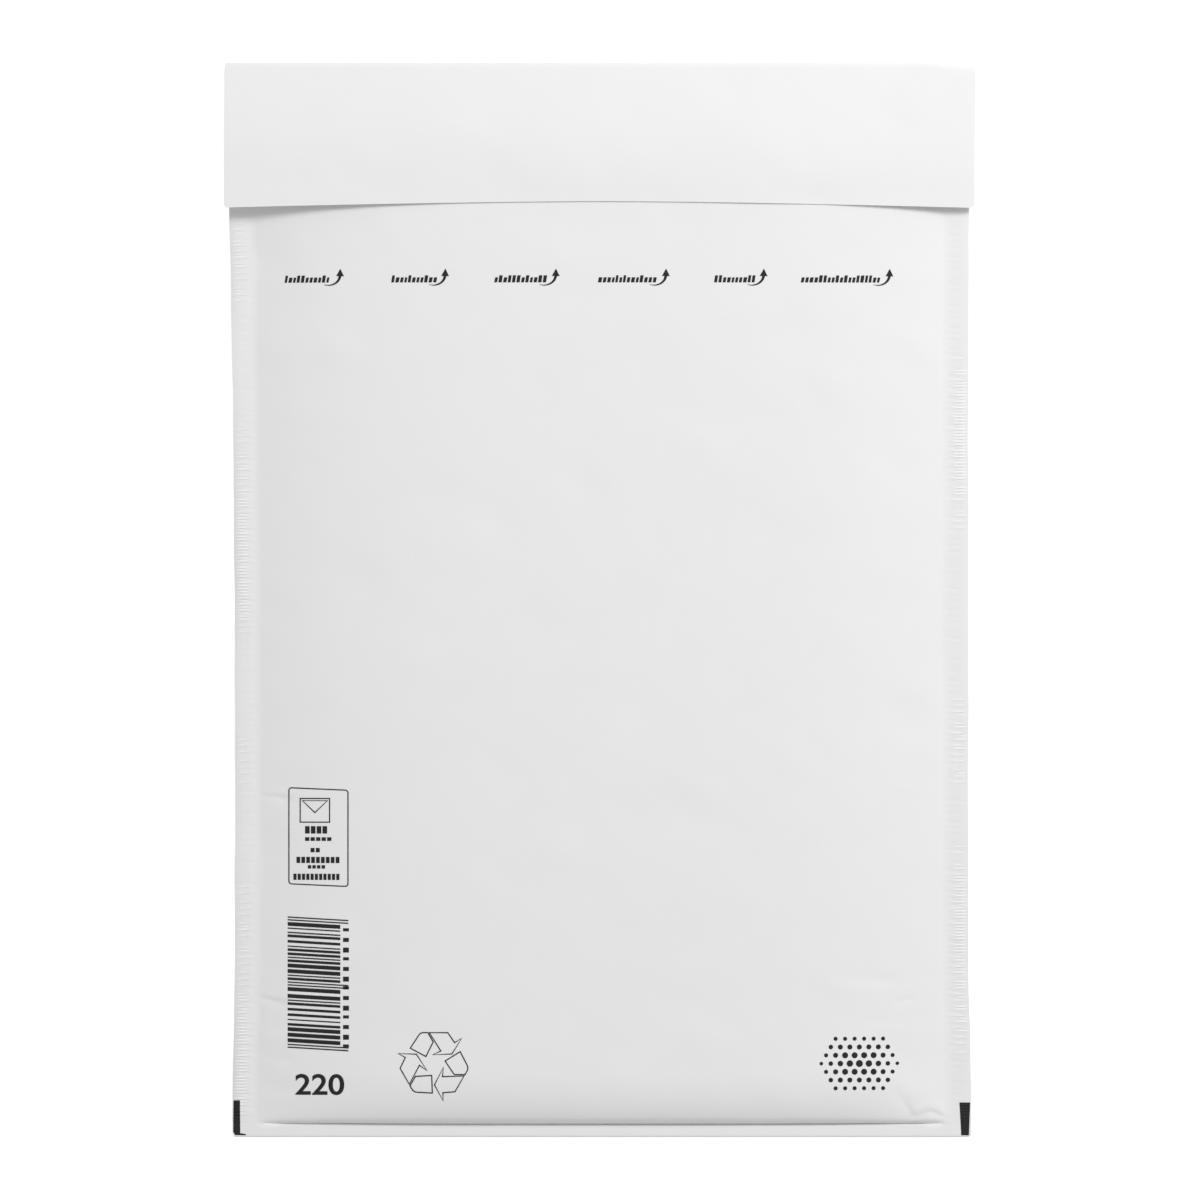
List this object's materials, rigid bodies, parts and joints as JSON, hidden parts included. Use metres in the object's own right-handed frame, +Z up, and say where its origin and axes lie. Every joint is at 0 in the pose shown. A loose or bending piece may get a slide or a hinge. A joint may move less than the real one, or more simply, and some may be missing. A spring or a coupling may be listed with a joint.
{
  "type": "padded envelope",
  "caption": "White paper mailing envelope lined with bubble film, with ribbed side seals and a flap folded down over the front, not sealed.",
  "frame": {"origin": "on the floor, under the middle of the envelope as it lies on its back", "axes": "+Z up out of the front face, +Y towards the folded top edge with the flap, +X to the right of someone who looks at the front"},
  "size_m": [0.2446, 0.35, 0.0109],
  "materials": {
    "white_paper": "matte, smooth calendered",
    "bubble_film": "clear polyethylene film",
    "hot_melt_adhesive": "tacky, clear amber",
    "liner_paper": "glazed, silicone coated",
    "black_ink": "matte printing ink"
  },
  "bodies": {
    "root": {"paper_envelope": "white_paper", "bubble_lining": "bubble_film", "adhesive_strip": "hot_melt_adhesive", "release_liner": "liner_paper"}
  },
  "joints": []
}
